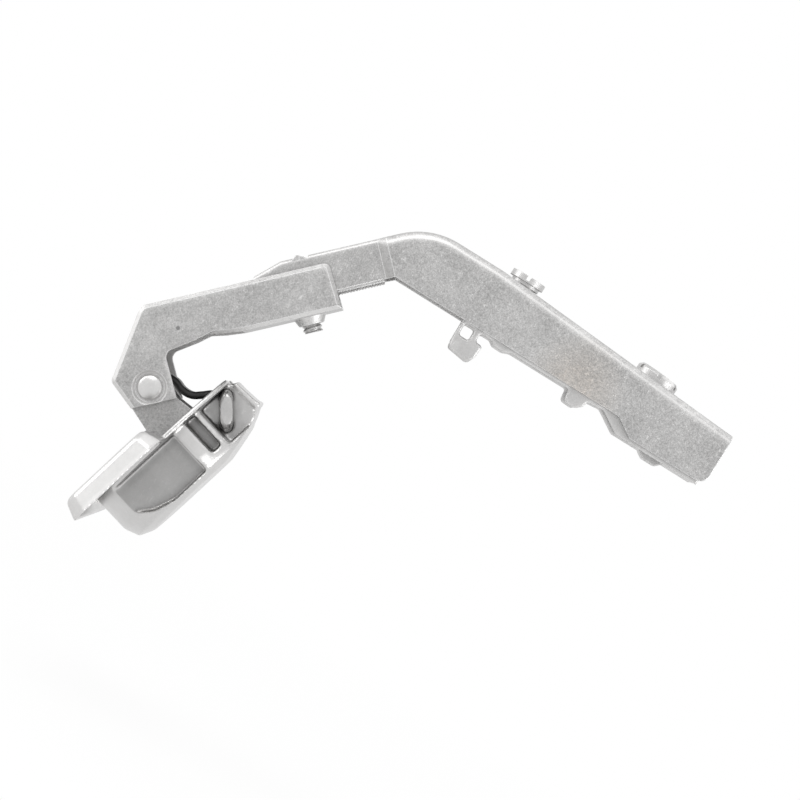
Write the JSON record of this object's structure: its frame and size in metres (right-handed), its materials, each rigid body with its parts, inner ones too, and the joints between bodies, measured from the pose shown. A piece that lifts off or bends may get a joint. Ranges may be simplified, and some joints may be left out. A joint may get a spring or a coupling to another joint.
{
  "type": "clip-on hinge",
  "caption": "Concealed cabinet hinge for an angled door: a bent clip-on arm with depth, overlay and lock screws, two links and a press-in cup with screw ears, shown open.",
  "frame": {"origin": "front hook's notch, midway between the two hooks, on the plane where the channel's rear edges sit on their plate", "axes": "+X along the cabinet side from the front hook to the rear lever, +Y along the hinge axis, +Z away from the cabinet side"},
  "size_m": [0.1071, 0.062, 0.0828],
  "materials": {
    "cup_steel": "smooth bright nickel plating, satin in the pressed recesses",
    "pin_steel": "bright drawn wire with a rubbed flat on its bridge",
    "link_steel": "satin nickel-plated steel",
    "dark_steel": "dark oiled steel",
    "rivet_steel": "smooth bright dome",
    "spring_steel": "plain spring steel",
    "arm_steel": "satin zinc plating, finely mottled",
    "screw_steel": "zinc-plated turned steel",
    "clip_steel": "satin nickel-plated steel"
  },
  "bodies": {
    "clip_base": {"clip_channel": "clip_steel", "depth_nut": "screw_steel", "lever_pin": "pin_steel", "lever_spring": "spring_steel"},
    "lock_screw": {"depth_lock_screw": "screw_steel"},
    "lever": {"release_lever": "clip_steel"},
    "arm": {"main_arm": "arm_steel"},
    "cam": {"depth_cam": "screw_steel"},
    "side_screw": {"overlay_screw": "screw_steel"},
    "front": {"front_arm": "arm_steel", "rivet_near": "rivet_steel", "rivet_far": "rivet_steel", "inner_link_pin": "pin_steel", "closing_spring": "spring_steel"},
    "swing_link": {"outer_link": "link_steel"},
    "door_cup": {"cup": "cup_steel", "cup_pin": "pin_steel"},
    "guide_link": {"inner_link": "dark_steel"}
  },
  "joints": [
    {"name": "lock_turn", "type": "hinge", "parent": "clip_base", "child": "lock_screw", "pos_m": [0.0022, 0, 0.0125], "axis": [0, 0, 1], "range_deg": [-180, 180]},
    {"name": "lever_press", "type": "hinge", "parent": "clip_base", "child": "lever", "pos_m": [0.044, 0, 0.004], "axis": [0, -1, 0], "range_deg": [0, 12], "stiffness_Nm_per_rad": 0.3, "springref_deg": -5.73},
    {"name": "depth_slide", "type": "slide", "parent": "clip_base", "child": "arm", "axis": [1, 0, 0], "range_m": [-0.0014, 0.0014]},
    {"name": "cam_turn", "type": "hinge", "parent": "arm", "child": "cam", "pos_m": [0.0328, 0, 0.01251], "axis": [0.0675, 0, 0.9977], "range_deg": [-40, 40]},
    {"name": "overlay_slide", "type": "slide", "parent": "arm", "child": "front", "axis": [-0.7071, 0, 0.7071], "range_m": [-0.0012, 0.0012]},
    {"name": "overlay_turn", "type": "hinge", "parent": "arm", "child": "side_screw", "pos_m": [-0.0317, 0, -0.0091], "axis": [-0.7071, 0, 0.7071], "range_deg": [-545, 545]},
    {"name": "door_swing", "type": "hinge", "parent": "front", "child": "swing_link", "pos_m": [-0.04737, 0, -0.03877], "axis": [0, 1, 0], "range_deg": [0, 114]},
    {"name": "cup_turn", "type": "hinge", "parent": "swing_link", "child": "door_cup", "pos_m": [-0.03144, 0, -0.03727], "axis": [0, 1, 0], "range_deg": [0, 6.2]},
    {"name": "guide_turn", "type": "hinge", "parent": "door_cup", "child": "guide_link", "pos_m": [-0.03445, 0, -0.03247], "axis": [0, 1, 0], "range_deg": [-28.3, 0]}
  ],
  "couplings": [
    {"joint": "cam_turn", "follows": "depth_slide", "rad_per_m": 493.7},
    {"joint": "overlay_turn", "follows": "overlay_slide", "rad_per_m": -7854},
    {"joint": "cup_turn", "follows": "door_swing", "ratio": 0.052632},
    {"joint": "guide_turn", "follows": "door_swing", "ratio": -0.24561}
  ]
}
